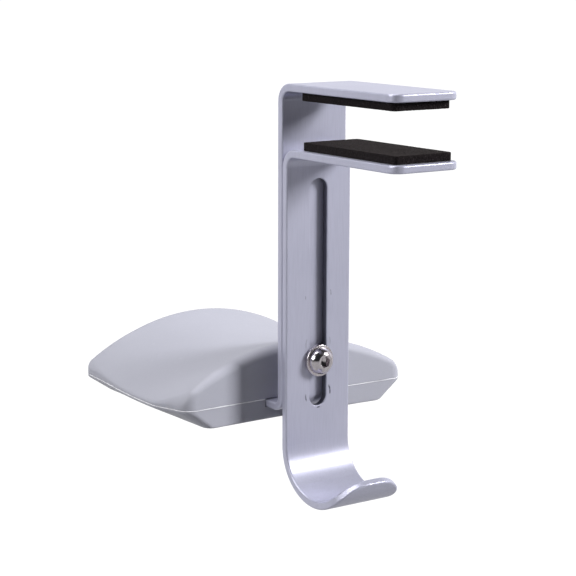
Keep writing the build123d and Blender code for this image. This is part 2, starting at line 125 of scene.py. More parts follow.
def lathe(name, profile, centre, axis="Z", steps=64):
    """A closed solid of revolution; profile is (radius, height) in mm from bottom to top, radius 0 at both ends."""
    verts, faces, rings = [], [], []
    for r, h in profile:
        if r < 1e-9:
            rings.append([len(verts)])
            verts.append((0.0, 0.0, h))
        else:
            rings.append(list(range(len(verts), len(verts) + steps)))
            for k in range(steps):
                a = 2 * math.pi * k / steps
                verts.append((r * math.cos(a), r * math.sin(a), h))
    for lower, upper in zip(rings, rings[1:]):
        n = max(len(lower), len(upper))
        for k in range(n):
            a, b = lower[k % len(lower)], lower[(k + 1) % len(lower)]
            c, d = upper[(k + 1) % len(upper)], upper[k % len(upper)]
            quad = [a, b, c, d]
            face = [v for i, v in enumerate(quad) if v not in quad[:i]]
            if len(face) >= 3:
                faces.append(face)
    pts = []
    for x, y, z in verts:
        if axis == "Y":          # the profile's height runs along +Y
            x, y, z = x, z, -y
        pts.append((x + centre[0], y + centre[1], z + centre[2]))
    return new_object(name, pts, faces)


# ------------------------------------------------------------------ materials
def material(name):
    m = bpy.data.materials.new(name)
    m.use_nodes = True
    nt = m.node_tree
    nt.nodes.clear()
    out = nt.nodes.new("ShaderNodeOutputMaterial")
    bsdf = nt.nodes.new("ShaderNodeBsdfPrincipled")
    nt.links.new(bsdf.outputs["BSDF"], out.inputs["Surface"])
    coord = nt.nodes.new("ShaderNodeTexCoord")
    return m, nt, bsdf, coord.outputs["Object"]


def noise(nt, vector, scale, detail=3.0, rough=0.5, distortion=0.0, stretch=None):
    """scale is in cells per metre; stretch scales the coordinates first."""
    if stretch:
        mp = nt.nodes.new("ShaderNodeMapping")
        mp.inputs["Scale"].default_value = stretch
        nt.links.new(vector, mp.inputs["Vector"])
        vector = mp.outputs["Vector"]
    n = nt.nodes.new("ShaderNodeTexNoise")
    n.inputs["Scale"].default_value = scale
    n.inputs["Detail"].default_value = detail
    n.inputs["Roughness"].default_value = rough
    n.inputs["Distortion"].default_value = distortion
    nt.links.new(vector, n.inputs["Vector"])
    return n.outputs["Fac"]


def cells(nt, vector, scale, feature="F1", randomness=1.0):
    n = nt.nodes.new("ShaderNodeTexVoronoi")
    n.feature = feature
    n.inputs["Scale"].default_value = scale
    n.inputs["Randomness"].default_value = randomness
    nt.links.new(vector, n.inputs["Vector"])
    return n.outputs["Distance"]


def remap(nt, value, a, b, c, d, smooth=False):
    n = nt.nodes.new("ShaderNodeMapRange")
    n.interpolation_type = "SMOOTHSTEP" if smooth else "LINEAR"
    n.clamp = True
    for key, v in (("From Min", a), ("From Max", b), ("To Min", c), ("To Max", d)):
        n.inputs[key].default_value = v
    nt.links.new(value, n.inputs["Value"])
    return n.outputs["Result"]


def calc(nt, op, a, b=0.0, clamp=False):
    n = nt.nodes.new("ShaderNodeMath")
    n.operation = op
    n.use_clamp = clamp
    for i, v in enumerate((a, b)):
        if isinstance(v, (int, float)):
            n.inputs[i].default_value = v
        else:
            nt.links.new(v, n.inputs[i])
    return n.outputs[0]


def mix(nt, fac, a, b, blend="MIX"):
    n = nt.nodes.new("ShaderNodeMix")
    n.data_type = "RGBA"
    n.blend_type = blend
    for key, v in (("Factor", fac), ("A", a), ("B", b)):
        sock = [s for s in n.inputs if s.name == key and (s.type == "RGBA" if key != "Factor" else s.type == "VALUE")][0]
        if isinstance(v, (int, float)):
            sock.default_value = v
        elif isinstance(v, (tuple, list)):
            sock.default_value = (*v[:3], 1.0)
        else:
            nt.links.new(v, sock)
    return [s for s in n.outputs if s.type == "RGBA"][0]


def bump(nt, bsdf, height, strength, distance, previous=None):
    n = nt.nodes.new("ShaderNodeBump")
    n.inputs["Strength"].default_value = strength
    n.inputs["Distance"].default_value = distance
    nt.links.new(height, n.inputs["Height"])
    if previous is not None:
        nt.links.new(previous, n.inputs["Normal"])
    if bsdf is not None:
        nt.links.new(n.outputs["Normal"], bsdf.inputs["Normal"])
    return n.outputs["Normal"]


def axes(nt, vector):
    n = nt.nodes.new("ShaderNodeSeparateXYZ")
    nt.links.new(vector, n.inputs["Vector"])
    return n.outputs["X"], n.outputs["Y"], n.outputs["Z"]


def edge_mask(nt, radius, low, high):
    """1 where the surface turns within the radius, 0 on flats."""
    bev = nt.nodes.new("ShaderNodeBevel")
    bev.samples = 4
    bev.inputs["Radius"].default_value = radius
    geo = nt.nodes.new("ShaderNodeNewGeometry")
    dot = nt.nodes.new("ShaderNodeVectorMath")
    dot.operation = "DOT_PRODUCT"
    nt.links.new(bev.outputs["Normal"], dot.inputs[0])
    nt.links.new(geo.outputs["Normal"], dot.inputs[1])
    return remap(nt, dot.outputs["Value"], high, low, 0.0, 1.0)


def set_material(obj, mat):
    if not obj.data.materials:
        obj.data.materials.append(mat)
    for i in range(len(obj.material_slots)):
        obj.material_slots[i].link = "OBJECT"
        obj.material_slots[i].material = mat


# ---- anodised aluminium bars
def anodised(name, wear):
    m, nt, bsdf, co = material(name)
    x, y, z = axes(nt, co)
    cloud = noise(nt, co, 38.0, 3.0)
    grain = noise(nt, co, 5200.0, 2.0, 0.65)
    sheen = noise(nt, co, 1400.0, 3.0, 0.6)
    streak = noise(nt, co, 260.0, 3.0, 0.55, stretch=(6.0, 6.0, 0.35))
    base = mix(nt, remap(nt, cloud, 0.3, 0.7, 0.0, 1.0), (0.462, 0.467, 0.584), (0.500, 0.502, 0.622))
    base = mix(nt, remap(nt, grain, 0.35, 0.7, 0.0, 0.22), base, (0.58, 0.58, 0.70))
    base = mix(nt, remap(nt, streak, 0.45, 0.75, 0.0, 0.30), base, (0.365, 0.366, 0.47))
    edges = edge_mask(nt, 0.0006, 0.80, 0.985)
    worn = calc(nt, "MULTIPLY", edges, remap(nt, noise(nt, co, 420.0, 4.0, 0.6), 0.35, 0.75, 0.12, 0.45))
    base = mix(nt, worn, base, (0.60, 0.60, 0.71))
    rough = remap(nt, sheen, 0.3, 0.7, 0.37, 0.43)
    rough = calc(nt, "SUBTRACT", rough, calc(nt, "MULTIPLY", worn, 0.03))
    if wear is not None:
        # rubbed arcs left by the washer round the screw's old positions
        for cx, cz, r0, width, dirx, dirz, spread, dark in wear:
            dx = calc(nt, "SUBTRACT", x, cx * MM)
            dz = calc(nt, "SUBTRACT", z, cz * MM)
            dist = calc(nt, "SQRT", calc(nt, "ADD", calc(nt, "MULTIPLY", dx, dx), calc(nt, "MULTIPLY", dz, dz)))
            ring = remap(nt, calc(nt, "ABSOLUTE", calc(nt, "SUBTRACT", dist, r0 * MM)), width * MM * 0.35, width * MM, 1.0, 0.0, True)
            along = calc(nt, "DIVIDE", calc(nt, "ADD", calc(nt, "MULTIPLY", dx, dirx), calc(nt, "MULTIPLY", dz, dirz)), calc(nt, "MAXIMUM", dist, 1e-6))
            arc = remap(nt, along, spread, min(1.0, spread + 0.06), 0.0, 1.0, True)
            front = remap(nt, y, -0.0001, 0.0012, 1.0, 0.0)
            mark = calc(nt, "MULTIPLY", calc(nt, "MULTIPLY", ring, arc), front)
            mark = calc(nt, "MULTIPLY", mark, remap(nt, noise(nt, co, 900.0, 3.0), 0.3, 0.55, 0.45, 1.0))
            base = mix(nt, calc(nt, "MULTIPLY", mark, dark), base, (0.045, 0.045, 0.07))
            rough = calc(nt, "ADD", rough, calc(nt, "MULTIPLY", mark, 0.12))
        # painted shade: the walls of the long slot get a dark base colour that stands in for the shade inside the
        # slot, and a higher roughness
        painted_slot_shade = remap(nt, calc(nt, "ABSOLUTE", x), 4.05 * MM, 4.20 * MM, 1.0, 0.0)
        painted_slot_shade = calc(nt, "MULTIPLY", painted_slot_shade, remap(nt, y, 0.30 * MM, 0.55 * MM, 0.0, 1.0))
        painted_slot_shade = calc(nt, "MULTIPLY", painted_slot_shade, remap(nt, z, (Z_TOP - 30.0) * MM, (Z_TOP - 31.0) * MM, 0.0, 1.0))
        base = mix(nt, calc(nt, "MULTIPLY", painted_slot_shade, 0.80), base, (0.06, 0.06, 0.085))
        rough = calc(nt, "ADD", rough, calc(nt, "MULTIPLY", painted_slot_shade, 0.15))
    nt.links.new(base, bsdf.inputs["Base Color"])
    nt.links.new(rough, bsdf.inputs["Roughness"])
    bsdf.inputs["Metallic"].default_value = 0.52
    bsdf.inputs["Specular IOR Level"].default_value = 0.5
    first = bump(nt, None, grain, 0.16, 0.00006)
    bump(nt, bsdf, sheen, 0.10, 0.00012, first)
    return m


# ---- closed-cell foam
def foam(name):
    m, nt, bsdf, co = material(name)
    cell = cells(nt, co, 1700.0)
    fine = cells(nt, co, 6200.0)
    cloud = noise(nt, co, 120.0, 4.0)
    pores = remap(nt, cell, 0.05, 0.55, 0.0, 1.0)
    base = mix(nt, pores, (0.0010, 0.0007, 0.0009), (0.0080, 0.0060, 0.0070))
    base = mix(nt, remap(nt, cloud, 0.35, 0.7, 0.0, 0.30), base, (0.010, 0.0075, 0.0085))
    speck = remap(nt, noise(nt, co, 1500.0, 2.0, 0.6), 0.60, 0.72, 0.0, 0.75)
    base = mix(nt, speck, base, (0.042, 0.034, 0.037))
    nt.links.new(base, bsdf.inputs["Base Color"])
    nt.links.new(remap(nt, fine, 0.0, 0.6, 0.78, 0.96), bsdf.inputs["Roughness"])
    bsdf.inputs["Specular IOR Level"].default_value = 0.11
    bsdf.inputs["Sheen Weight"].default_value = 0.03
    bsdf.inputs["Sheen Roughness"].default_value = 0.6
    bsdf.inputs["Sheen Tint"].default_value = (0.85, 0.72, 0.68, 1.0)
    first = bump(nt, None, cell, 0.85, 0.00030)
    bump(nt, bsdf, fine, 0.5, 0.00012, first)
    return m


# ---- adhesive film
def film(name):
    m, nt, bsdf, co = material(name)
    n = noise(nt, co, 900.0, 3.0)
    base = mix(nt, remap(nt, n, 0.3, 0.7, 0.0, 1.0), (0.022, 0.021, 0.023), (0.045, 0.043, 0.046))
    nt.links.new(base, bsdf.inputs["Base Color"])
    nt.links.new(remap(nt, n, 0.3, 0.7, 0.45, 0.6), bsdf.inputs["Roughness"])
    bump(nt, bsdf, n, 0.2, 0.00003)
    return m


# ---- steels
def steel(name, low, high, rough_low, rough_high, grain_scale, strength, stretch=None, soil=0.25):
    m, nt, bsdf, co = material(name)
    n = noise(nt, co, grain_scale, 4.0, 0.6, stretch=stretch)
    cloud = noise(nt, co, 600.0, 3.0)
    base = mix(nt, remap(nt, cloud, 0.3, 0.7, 0.0, 1.0), low, high)
    dirt = edge_mask(nt, 0.0005, 0.6, 0.98)
    dirt = calc(nt, "MULTIPLY", dirt, remap(nt, noise(nt, co, 1500.0, 4.0), 0.45, 0.7, 0.0, soil))
    base = mix(nt, dirt, base, (0.16, 0.13, 0.11))
    nt.links.new(base, bsdf.inputs["Base Color"])
    bsdf.inputs["Metallic"].default_value = 1.0
    nt.links.new(remap(nt, n, 0.3, 0.7, rough_low, rough_high), bsdf.inputs["Roughness"])
    bump(nt, bsdf, n, strength, 0.00003)
    return m


# ---- saddle plastics
def moulded(name, low, high, rough, line=None):
    m, nt, bsdf, co = material(name)
    cloud = noise(nt, co, 26.0, 3.0)
    texture = noise(nt, co, 3000.0, 3.0, 0.6)
    spark = noise(nt, co, 950.0, 4.0, 0.6)
    base = mix(nt, remap(nt, cloud, 0.3, 0.7, 0.0, 1.0), low, high)
    base = mix(nt, remap(nt, texture, 0.35, 0.7, 0.0, 0.16), base, tuple(min(1.0, c * 1.18) for c in high))
    dust = remap(nt, noise(nt, co, 420.0, 5.0, 0.7), 0.62, 0.75, 0.0, 0.10)
    base = mix(nt, dust, base, (0.70, 0.71, 0.74))
    # painted highlight: rounded edges are lightened in base colour
    edges = edge_mask(nt, 0.0008, 0.70, 0.99)
    base = mix(nt, calc(nt, "MULTIPLY", edges, 0.35), base, (0.62, 0.63, 0.68))
    if line is not None:
        # painted highlight: a thin band along the joint line is lightened in base colour, standing in for the lit
        # edge of the lip
        z = axes(nt, co)[2]
        near = remap(nt, calc(nt, "ABSOLUTE", calc(nt, "SUBTRACT", z, line[0] * MM)), line[1] * MM * 0.6, line[1] * MM, 1.0, 0.0, True)
        near = calc(nt, "MULTIPLY", near, remap(nt, noise(nt, co, 160.0, 3.0), 0.3, 0.6, 0.45, 1.0))
        base = mix(nt, calc(nt, "MULTIPLY", near, 0.85), base, (0.86, 0.86, 0.89))
    nt.links.new(base, bsdf.inputs["Base Color"])
    nt.links.new(remap(nt, spark, 0.3, 0.7, rough - 0.04, rough + 0.05), bsdf.inputs["Roughness"])
    bsdf.inputs["Specular IOR Level"].default_value = 0.42
    bsdf.inputs["Subsurface Weight"].default_value = 0.0
    first = bump(nt, None, texture, 0.22, 0.00008)
    bump(nt, bsdf, spark, 0.10, 0.00012, first)
    return m


Z_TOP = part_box("rear_bracket")[1].z / MM
ARCS = [
    # centre x, centre z, radius, width, direction x, direction z, cosine of half spread, darkness
    (0.0, Z_TOP - 120.9, 5.80, 0.46, 0.985, 0.17, 0.925, 0.97),
    (0.0, Z_TOP - 120.9, 5.85, 0.42, -0.985, -0.17, 0.955, 0.90),
    (0.0, Z_TOP - 120.9, 5.45, 0.42, 0.04, -1.0, 0.985, 0.97),
    (0.0, Z_TOP - 82.0, 6.0, 0.30, 1.0, 0.12, 0.985, 0.55),
    (0.0, Z_TOP - 82.0, 6.0, 0.26, -1.0, -0.05, 0.990, 0.45),
    (0.0, Z_TOP - 101.0, 5.75, 0.34, 1.0, 0.1, 0.955, 0.32),
    (0.0, Z_TOP - 101.0, 5.75, 0.40, -1.0, 0.1, 0.93, 0.28),
]
BAR_FRONT = anodised("anodised_front", ARCS)
BAR_REAR = anodised("anodised_rear", None)
FOAM = foam("foam")
FILM = film("film")
SCREW = steel("screw_steel", (0.54, 0.50, 0.525), (0.68, 0.635, 0.665), 0.15, 0.22, 2600.0, 0.10, soil=0.45)
WASHER = steel("washer_steel", (0.62, 0.575, 0.60), (0.75, 0.70, 0.73), 0.20, 0.31, 2600.0, 0.18)
INSERT = steel("insert_steel", (0.55, 0.54, 0.50), (0.66, 0.64, 0.60), 0.26, 0.38, 1800.0, 0.2)
ZINC = steel("zinc_steel", (0.50, 0.50, 0.50), (0.62, 0.62, 0.62), 0.24, 0.36, 2200.0, 0.2)
SOFT = moulded("saddle_soft", (0.343, 0.346, 0.401), (0.363, 0.366, 0.423), 0.56)
BASE = moulded("saddle_base", (0.334, 0.336, 0.388), (0.354, 0.356, 0.411), 0.52, line=(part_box("saddle_lower")[1].z / MM - 0.10, 0.24))

for node, mat in (
    ("rear_bracket", BAR_REAR), ("front_bracket", BAR_FRONT), ("upper_pad_adhesive", FILM), ("lower_pad_adhesive", FILM),
    ("clamp_screw", SCREW), ("flat_washer", WASHER), ("threaded_insert", INSERT), ("tab_screws", ZINC), ("cover_screws", ZINC),
):
    set_material(NODES[node], mat)


# ------------------------------------------------------------------ saddle
S_LO, S_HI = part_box("saddle_upper")
L_LO, L_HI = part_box("saddle_lower")
Y0, Y1 = S_LO.y / MM, S_HI.y / MM           # face towards the rear bar, far face
SEAM = L_HI.z / MM                          # joint line
BASE_Z = L_LO.z / MM
YM, YH = (Y0 + Y1) / 2.0, (Y1 - Y0) / 2.0
NEAR_R, FAR_R = 5.5, 3.0                    # vertical corners, towards the bars and away from them
END_CORNER = 52.6
SWELL_Y = [13.3, 19.0, 23.6, 28.0, 36.0, 45.0, 58.0, 69.0, 80.5, 92.8]
SWELL_X = [52.6, 53.1, 54.5, 56.0, 56.6, 56.4, 55.6, 54.5, 53.4, 52.6]


def spline(xs, ys, n=400):
    """Natural cubic spline, returned as a dense table."""
    xs, ys = np.array(xs, float), np.array(ys, float)
    h = np.diff(xs)
    k = len(xs)
    A = np.zeros((k, k))
    b = np.zeros(k)
    A[0, 0] = A[-1, -1] = 1.0
    for i in range(1, k - 1):
        A[i, i - 1], A[i, i], A[i, i + 1] = h[i - 1], 2 * (h[i - 1] + h[i]), h[i]
        b[i] = 3 * ((ys[i + 1] - ys[i]) / h[i] - (ys[i] - ys[i - 1]) / h[i - 1])
    c = np.linalg.solve(A, b)
    t = np.linspace(xs[0], xs[-1], n)
    i = np.clip(np.searchsorted(xs, t, side="right") - 1, 0, k - 2)
    d = t - xs[i]
    bb = (ys[i + 1] - ys[i]) / h[i] - h[i] * (2 * c[i] + c[i + 1]) / 3
    return t, ys[i] + bb * d + c[i] * d**2 + (c[i + 1] - c[i]) / (3 * h[i]) * d**3


SW_T, SW_X = spline(SWELL_Y, SWELL_X)


def half_width(y):
    """Half width of the plan at y, with the vertical corners rounded."""
    w = np.interp(y, SW_T, SW_X)
    for d, r in ((y - Y0, NEAR_R), (Y1 - y, FAR_R)):
        t = np.clip(r - d, 0.0, r)
        w = w - (r - np.sqrt(np.maximum(r * r - t * t, 0.0)))
    return w


def half_base(y, half=42.1, r=3.6):
    w = np.full_like(np.asarray(y, float), half)
    for d in (y - Y0, Y1 - y):
        t = np.clip(r - d, 0.0, r)
        w = w - (r - np.sqrt(np.maximum(r * r - t * t, 0.0)))
    return w


def bow(x):
    """The face towards the bars is pulled in a little between its ends."""
    return 0.75 * (1.0 - (x / END_CORNER) ** 2)


CROWN_N, CROWN_M, CROWN_F = 21.9, 17.3, 22.4
R_N, R_M, R_F = 89.0, 106.0, 85.0


def sag(r, x):
    return r - np.sqrt(r * r - x * x)


def top_height(x, y):
    """Height of the unrounded top over the joint line."""
    q = (y - YM) / YH
    zn, zm, zf = CROWN_N - sag(R_N, x), CROWN_M - sag(R_M, x), CROWN_F - sag(R_F, x)
    return zm + (zf - zn) / 2 * q + ((zn + zf) / 2 - zm) * q * q


def drop(d, r):
    t = np.clip(r - d, 0.0, r)
    return r - np.sqrt(np.maximum(r * r - t * t, 0.0))


def graded(n, span, r, k):
    """n + 2k + 1 stations on 0..span, close together over the first and last r."""
    head = r * (1.0 - np.cos(np.linspace(0.0, math.pi / 2, k + 1)))
    mid = np.linspace(r, span - r, n + 1)
    return np.concatenate([head[:-1], mid, (span - head)[::-1][1:]])


def saddle_grid():
    y = graded(64, Y1 - Y0, 6.0, 14) + Y0
    u = graded(104, 2.0, 0.07, 12) - 1.0
    U, Y = np.meshgrid(u, y, indexing="ij")
    W = half_width(Y)
    X = U * W
    fade = 1.0 - (Y - Y0) / (Y1 - Y0)
    YY = Y + bow(X) * fade
    z = top_height(X, Y)
    # rim rounding: soft along the near and far rims, tighter where they run out at the corners
    rim = np.clip(1.4 + 0.19 * np.maximum(z, 0.0), 1.2, 4.6)
    end = 0.75 + np.where(Y < YM, 3.1, 1.3) * np.clip((np.abs(Y - YM) - YH + 16.0) / 13.0, 0.0, 1.0) ** 1.5
    Z = z - np.sqrt(drop(Y - Y0, rim) ** 2 + drop(Y1 - Y, rim) ** 2 + drop(W - np.abs(X), end) ** 2)
    Z = np.maximum(Z, 0.28)
    return X, YY, Z + SEAM, u, y


X, Y, Z, U_ST, Y_ST = saddle_grid()
NU, NV = X.shape


def loop_indices(nu, nv):
    out = [(i, 0) for i in range(nu)]
    out += [(nu - 1, j) for j in range(1, nv)]
    out += [(i, nv - 1) for i in range(nu - 2, -1, -1)]
    out += [(0, j) for j in range(nv - 2, 0, -1)]
    return out


LOOP = loop_indices(NU, NV)
SEAM_XY = np.array([(X[i, j], Y[i, j]) for i, j in LOOP])
BASE_XY = np.array([(U_ST[i] * half_base(np.array([Y_ST[j]]))[0], Y[i, j]) for i, j in LOOP])


def inward(loop):
    """Unit inward normals of a closed loop that runs counter-clockwise."""
    nxt, prv = np.roll(loop, -1, 0), np.roll(loop, 1, 0)
    t = nxt - prv
    n = np.stack([-t[:, 1], t[:, 0]], 1)
    return n / np.maximum(np.linalg.norm(n, axis=1, keepdims=True), 1e-9)


def shell(name, grid, rings, cap_z):
    """Optional top grid whose border is the first ring, then rings of points downwards, then a cap."""
    verts, faces = [], []
    n = len(LOOP)
    if grid is not None:
        gx, gy, gz = grid
        index = {}
        for i in range(NU):
            for j in range(NV):
                index[i, j] = len(verts)
                verts.append((gx[i, j], gy[i, j], gz[i, j]))
        for i in range(NU - 1):
            for j in range(NV - 1):
                faces.append((index[i, j], index[i + 1, j], index[i + 1, j + 1], index[i, j + 1]))
        previous = [index[k] for k in LOOP]
    else:
        first = rings.pop(0)
        previous = list(range(n))
        verts += [tuple(p) for p in first]
        faces.append(tuple(previous))
    for ring in rings:
        now = list(range(len(verts), len(verts) + n))
        verts += [tuple(p) for p in ring]
        for k in range(n):
            k2 = (k + 1) % n
            faces.append((previous[k], now[k], now[k2], previous[k2]))
        previous = now
    faces.append(tuple(reversed(previous)))
    return new_object(name, verts, faces)


def ring_at(xy, z):
    return np.column_stack([xy, np.broadcast_to(z, (len(xy),))])


def bezier(a, b, c, steps, first=False):
    ts = np.linspace(0.0, 1.0, steps + 1)
    if not first:
        ts = ts[1:]
    return [(1 - t) ** 2 * a + 2 * t * (1 - t) * b + t * t * c for t in ts]


SEAM_IN = inward(SEAM_XY)
BASE_IN = inward(BASE_XY)
GAP = 0.03           # half of the open joint line
LIP = 0.20           # rounding of the lips at the joint
PROUD = 0.16         # the lower part stands this far outside the upper one


def upper_shell():
    top = np.array([Z[i, j] for i, j in LOOP])
    lip_z = SEAM + GAP
    rings = []
    start = np.column_stack([SEAM_XY, top])
    a = ring_at(SEAM_XY, lip_z + LIP)
    a[:, 2] = np.minimum(a[:, 2], top - 0.01)
    for k in range(1, 9):
        rings.append(start + (a - start) * k / 8.0)
    b = ring_at(SEAM_XY, lip_z)
    c = ring_at(SEAM_XY + SEAM_IN * LIP, lip_z)
    rings += bezier(a, b, c, 4)
    rings.append(ring_at(SEAM_XY + SEAM_IN * 1.2, lip_z))
    return shell("saddle_cushion", (X, Y, Z), rings, lip_z)


def lower_shell():
    lip_z = SEAM - GAP
    edge = SEAM_XY - SEAM_IN * PROUD
    rings = [ring_at(SEAM_XY + SEAM_IN * 1.2, lip_z)]
    a = ring_at(edge + SEAM_IN * LIP, lip_z)
    b = ring_at(edge, lip_z)
    c = ring_at(edge, lip_z - LIP)
    rings += bezier(a, b, c, 4, first=True)
    # the band under the joint turns into the sloping wall
    knee = ring_at(SEAM_XY, SEAM - 1.15)
    foot = ring_at(BASE_XY, BASE_Z)
    wall = foot - knee
    wall /= np.linalg.norm(wall, axis=1, keepdims=True)
    a = ring_at(SEAM_XY, SEAM - 0.65)
    c = knee + wall * 0.9
    rings += bezier(a, knee, c, 5, first=True)
    r = 1.15
    a2 = foot - wall * r
    for k in range(1, 9):
        rings.append(c + (a2 - c) * k / 9.0)
    c2 = foot.copy()
    c2[:, :2] += BASE_IN * r
    rings += bezier(a2, foot, c2, 6, first=True)
    inner = foot.copy()
    inner[:, :2] += BASE_IN * 2.4
    rings.append(inner)
    return shell("saddle_base", None, rings, BASE_Z)


cushion = upper_shell()
base = lower_shell()

# Opening for the tab, under the joint line
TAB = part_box("rear_bracket")
notch = bpy.data.meshes.new("notch")
bm = bmesh.new()
bmesh.ops.create_cube(bm, size=1.0)
half_notch = TAB[1].x / MM + 0.35
for v in bm.verts:
    v.co = Vector((
        v.co.x * 2 * half_notch,
        Y0 - 4.0 + (v.co.y + 0.5) * 9.0,
        SEAM - 3.45 + (v.co.z + 0.5) * 5.0,
    )) * MM
bmesh.ops.bevel(bm, geom=[e for e in bm.edges if abs(e.verts[0].co.y - e.verts[1].co.y) > 0.001], offset=0.3 * MM, segments=3, affect="EDGES")
bm.to_mesh(notch)
bm.free()
notch = bpy.data.objects.new("notch", notch)
scene.collection.objects.link(notch)
cut(base, notch)

# Recessed screw seats, seen from below
for node, r, depth in (("cover_screws", 3.1, 5.35), ("tab_screws", 4.1, 2.9)):
    o = NODES[node]
    co = np.array([v.co for v in o.data.vertices]) / MM
    centres = {}
    for x, y, z in co:
        key = (round(x / 12.0), round(y / 14.0))
        centres.setdefault(key, []).append((x, y))
    for pts in centres.values():
        cx, cy = (np.min(pts, 0) + np.max(pts, 0)) / 2
        prof = [
            (0.0, BASE_Z - 2.0), (r + 0.75, BASE_Z - 2.0), (r + 0.75, BASE_Z - 0.02), (r + 0.45, BASE_Z + 0.02), (r + 0.18, BASE_Z + 0.16), (r + 0.04, BASE_Z + 0.4),
            (r, BASE_Z + 0.75), (r, BASE_Z + depth - 0.3), (r - 0.3, BASE_Z + depth), (0.0, BASE_Z + depth),
        ]
        cut(base, lathe("seat", prof, (cx, cy, 0.0), steps=48))
sharpen(base, 32)
weighted(base)
sharpen(cushion, 60)
weighted(cushion)

for obj, mat, node, slot in ((cushion, SOFT, "saddle_upper", "saddle_grey"), (base, BASE, "saddle_lower", "saddle_base_grey")):
    obj.data.materials.clear()
    obj.data.materials.append(mat)
    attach(obj, "rear_frame")
    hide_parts(node)


# ------------------------------------------------------------------ foam pads
def value_noise(points, scale, seed):
    """Smooth 3-D value noise in 0..1, sampled at points (mm), with cells of the given size (mm)."""
    p = points / scale + 1000.0
    i = np.floor(p).astype(np.int64)
    f = p - i
    f = f * f * (3 - 2 * f)
    out = np.zeros(len(points))
    for dx in (0, 1):
        for dy in (0, 1):
            for dz in (0, 1):
                h = (i[:, 0] + dx) * 374761393 + (i[:, 1] + dy) * 668265263 + (i[:, 2] + dz) * 2147483647 + seed * 974711
                h = (h ^ (h >> 13)) * 1274126177
                h = (h ^ (h >> 16)) & 0xFFFFFF
                w = np.where(dx, f[:, 0], 1 - f[:, 0]) * np.where(dy, f[:, 1], 1 - f[:, 1]) * np.where(dz, f[:, 2], 1 - f[:, 2])
                out += w * (h / float(0xFFFFFF))
    return out


def foam_pad(name, node, corner, step=0.34):
    """A die-cut foam block: crisp but slightly crushed edges, open cells on every cut face."""
    lo, hi = (np.array(c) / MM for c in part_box(node))
    size = hi - lo
    centre = (lo + hi) / 2
    half = size / 2
    n = np.maximum(np.round(size / step).astype(int), 4)

    def stations(k):
        # closer together next to the edges, where the rounding is
        t = np.linspace(-1, 1, n[k] + 1)
        e = 0.45
        pos = t * half[k]
        edge = half[k] - e * (1 - np.cos(np.linspace(0, math.pi / 2, 5)))
        core = pos[np.abs(pos) < half[k] - e * 1.05]
        return np.concatenate([-edge[:-1], core, edge[:-1][::-1]])

    sx, sy, sz = stations(0), stations(1), stations(2)
    index, verts, faces = {}, [], []

    def vert(i, j, k):
        key = (i, j, k)
        if key not in index:
            index[key] = len(verts)
            verts.append((sx[i], sy[j], sz[k]))
        return index[key]

    a, b, c = len(sx) - 1, len(sy) - 1, len(sz) - 1
    for i in range(a):
        for j in range(b):
            faces.append((vert(i, j, 0), vert(i, j + 1, 0), vert(i + 1, j + 1, 0), vert(i + 1, j, 0)))
            faces.append((vert(i, j, c), vert(i + 1, j, c), vert(i + 1, j + 1, c), vert(i, j + 1, c)))
    for i in range(a):
        for k in range(c):
            faces.append((vert(i, 0, k), vert(i + 1, 0, k), vert(i + 1, 0, k + 1), vert(i, 0, k + 1)))
            faces.append((vert(i, b, k), vert(i, b, k + 1), vert(i + 1, b, k + 1), vert(i + 1, b, k)))
    for j in range(b):
        for k in range(c):
            faces.append((vert(0, j, k), vert(0, j, k + 1), vert(0, j + 1, k + 1), vert(0, j + 1, k)))
            faces.append((vert(a, j, k), vert(a, j + 1, k), vert(a, j + 1, k + 1), vert(a, j, k + 1)))
    p = np.array(verts)
    # rounded block: clamp to an inner block, then push out by the radius
    r = 0.32
    inner = half - r
    core = np.clip(p, -inner, inner)
    # plan corners have their own, larger radius
    d = p - core
    ln = np.linalg.norm(d, axis=1, keepdims=True)
    on = ln[:, 0] > 1e-9
    p[on] = core[on] + d[on] / ln[on] * r
    rc = corner
    ax, ay = half[0] - rc, half[1] - rc
    corner_zone = (np.abs(p[:, 0]) > ax) & (np.abs(p[:, 1]) > ay)
    cx, cy = np.sign(p[:, 0]) * ax, np.sign(p[:, 1]) * ay
    dx, dy = p[:, 0] - cx, p[:, 1] - cy
    m = np.maximum(np.abs(dx), np.abs(dy))
    dist = np.maximum(np.hypot(dx, dy), 1e-9)
    p[corner_zone, 0] = (cx + dx / dist * m)[corner_zone]
    p[corner_zone, 1] = (cy + dy / dist * m)[corner_zone]
    # normals of the block for the cell relief
    nrm = np.where(np.abs(p) > half - 0.36, np.sign(p), 0.0)
    nl = np.maximum(np.linalg.norm(nrm, axis=1, keepdims=True), 1e-9)
    nrm = nrm / nl
    world = p + centre
    cell = value_noise(world, 0.62, 3) * 0.6 + value_noise(world, 0.31, 7) * 0.4
    pits = np.clip((cell - 0.56) / 0.25, 0, 1)
    slow = value_noise(world, 9.0, 11) - 0.5
    relief = -0.10 * pits + 0.05 * slow - 0.02
    glue = 1.0 if node.startswith("lower") else -1.0          # the glued face stays flat
    flat = (nrm[:, 2] * glue) < -0.5
    relief[flat] = 0.0
    world += nrm * relief[:, None]
    obj = new_object(name, world, faces)
    obj.data.materials.append(FOAM)
    sharpen(obj, 75)
    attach(obj, "rear_frame" if node == "upper_pad" else "front_slider")
    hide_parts(node)
    return obj


foam_pad("upper_foam", "upper_pad", 1.5)
foam_pad("lower_foam", "lower_pad", 1.5)


# ------------------------------------------------------------------ CAD metal shading
for node in ("rear_bracket", "front_bracket", "clamp_screw", "flat_washer", "threaded_insert", "tab_screws", "cover_screws"):
    mesh = NODES[node].data
    mesh.polygons.foreach_set("use_smooth", [True] * len(mesh.polygons))


